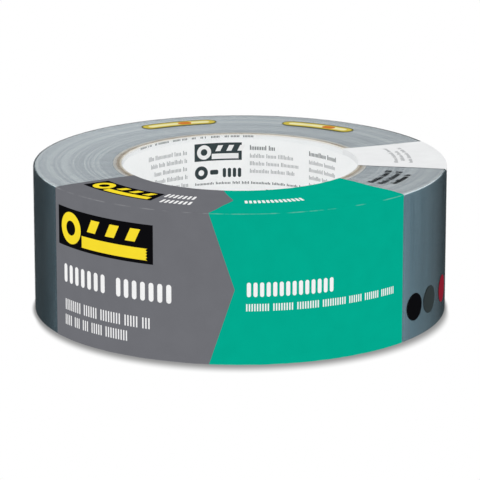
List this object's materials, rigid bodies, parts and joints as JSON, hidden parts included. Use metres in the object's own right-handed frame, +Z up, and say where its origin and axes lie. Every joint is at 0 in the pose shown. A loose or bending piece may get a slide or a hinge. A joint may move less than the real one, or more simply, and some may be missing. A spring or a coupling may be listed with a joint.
{
  "type": "duct tape roll",
  "caption": "Roll of silver cloth-backed duct tape wound on a spiral-wound board core with a white paper liner, wrapped in a part-printed clear shrink sleeve.",
  "frame": {"origin": "centre of the roll's lower flat face, on the core's axis, where the roll lies on a surface", "axes": "+Z up along the core's axis; -Y towards the middle of the printed label, +X to its right"},
  "size_m": [0.1334, 0.1334, 0.0483],
  "materials": {
    "printed_film": "gloss",
    "silver_tape": "satin",
    "white_paper": "matte",
    "kraft_board": "matte",
    "label_teal": "satin",
    "label_gray": "satin",
    "label_print": "satin"
  },
  "bodies": {
    "root": {"shrink_sleeve": "printed_film", "tape_winding": "silver_tape", "core_liner": "white_paper", "core_ply_1": "kraft_board", "core_ply_2": "kraft_board", "core_ply_3": "kraft_board", "core_ply_4": "kraft_board", "core_ply_5": "kraft_board"}
  },
  "joints": []
}
